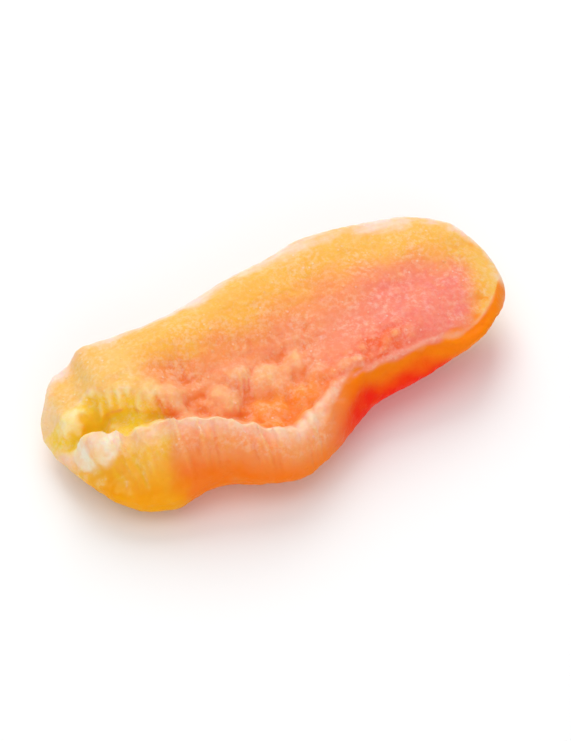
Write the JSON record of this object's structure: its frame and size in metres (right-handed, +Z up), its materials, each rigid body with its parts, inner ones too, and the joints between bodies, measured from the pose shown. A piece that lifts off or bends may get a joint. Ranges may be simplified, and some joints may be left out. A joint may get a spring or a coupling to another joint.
{
  "type": "dried papaya slice",
  "caption": "Thick lengthwise slice of candied, dried papaya with a knobbly seed cavity, a ruffled near edge and a rounded end, lying on its skin side.",
  "frame": {"origin": "under the middle of the slice's box, on the surface that it rests on", "axes": "+X along the slice towards its rounded end, +Y across it towards the far rim near the skin, +Z up"},
  "size_m": [0.0586, 0.028, 0.0124],
  "materials": {
    "papaya_flesh": "satin"
  },
  "bodies": {
    "root": {"papaya_slice": "papaya_flesh"}
  },
  "joints": []
}
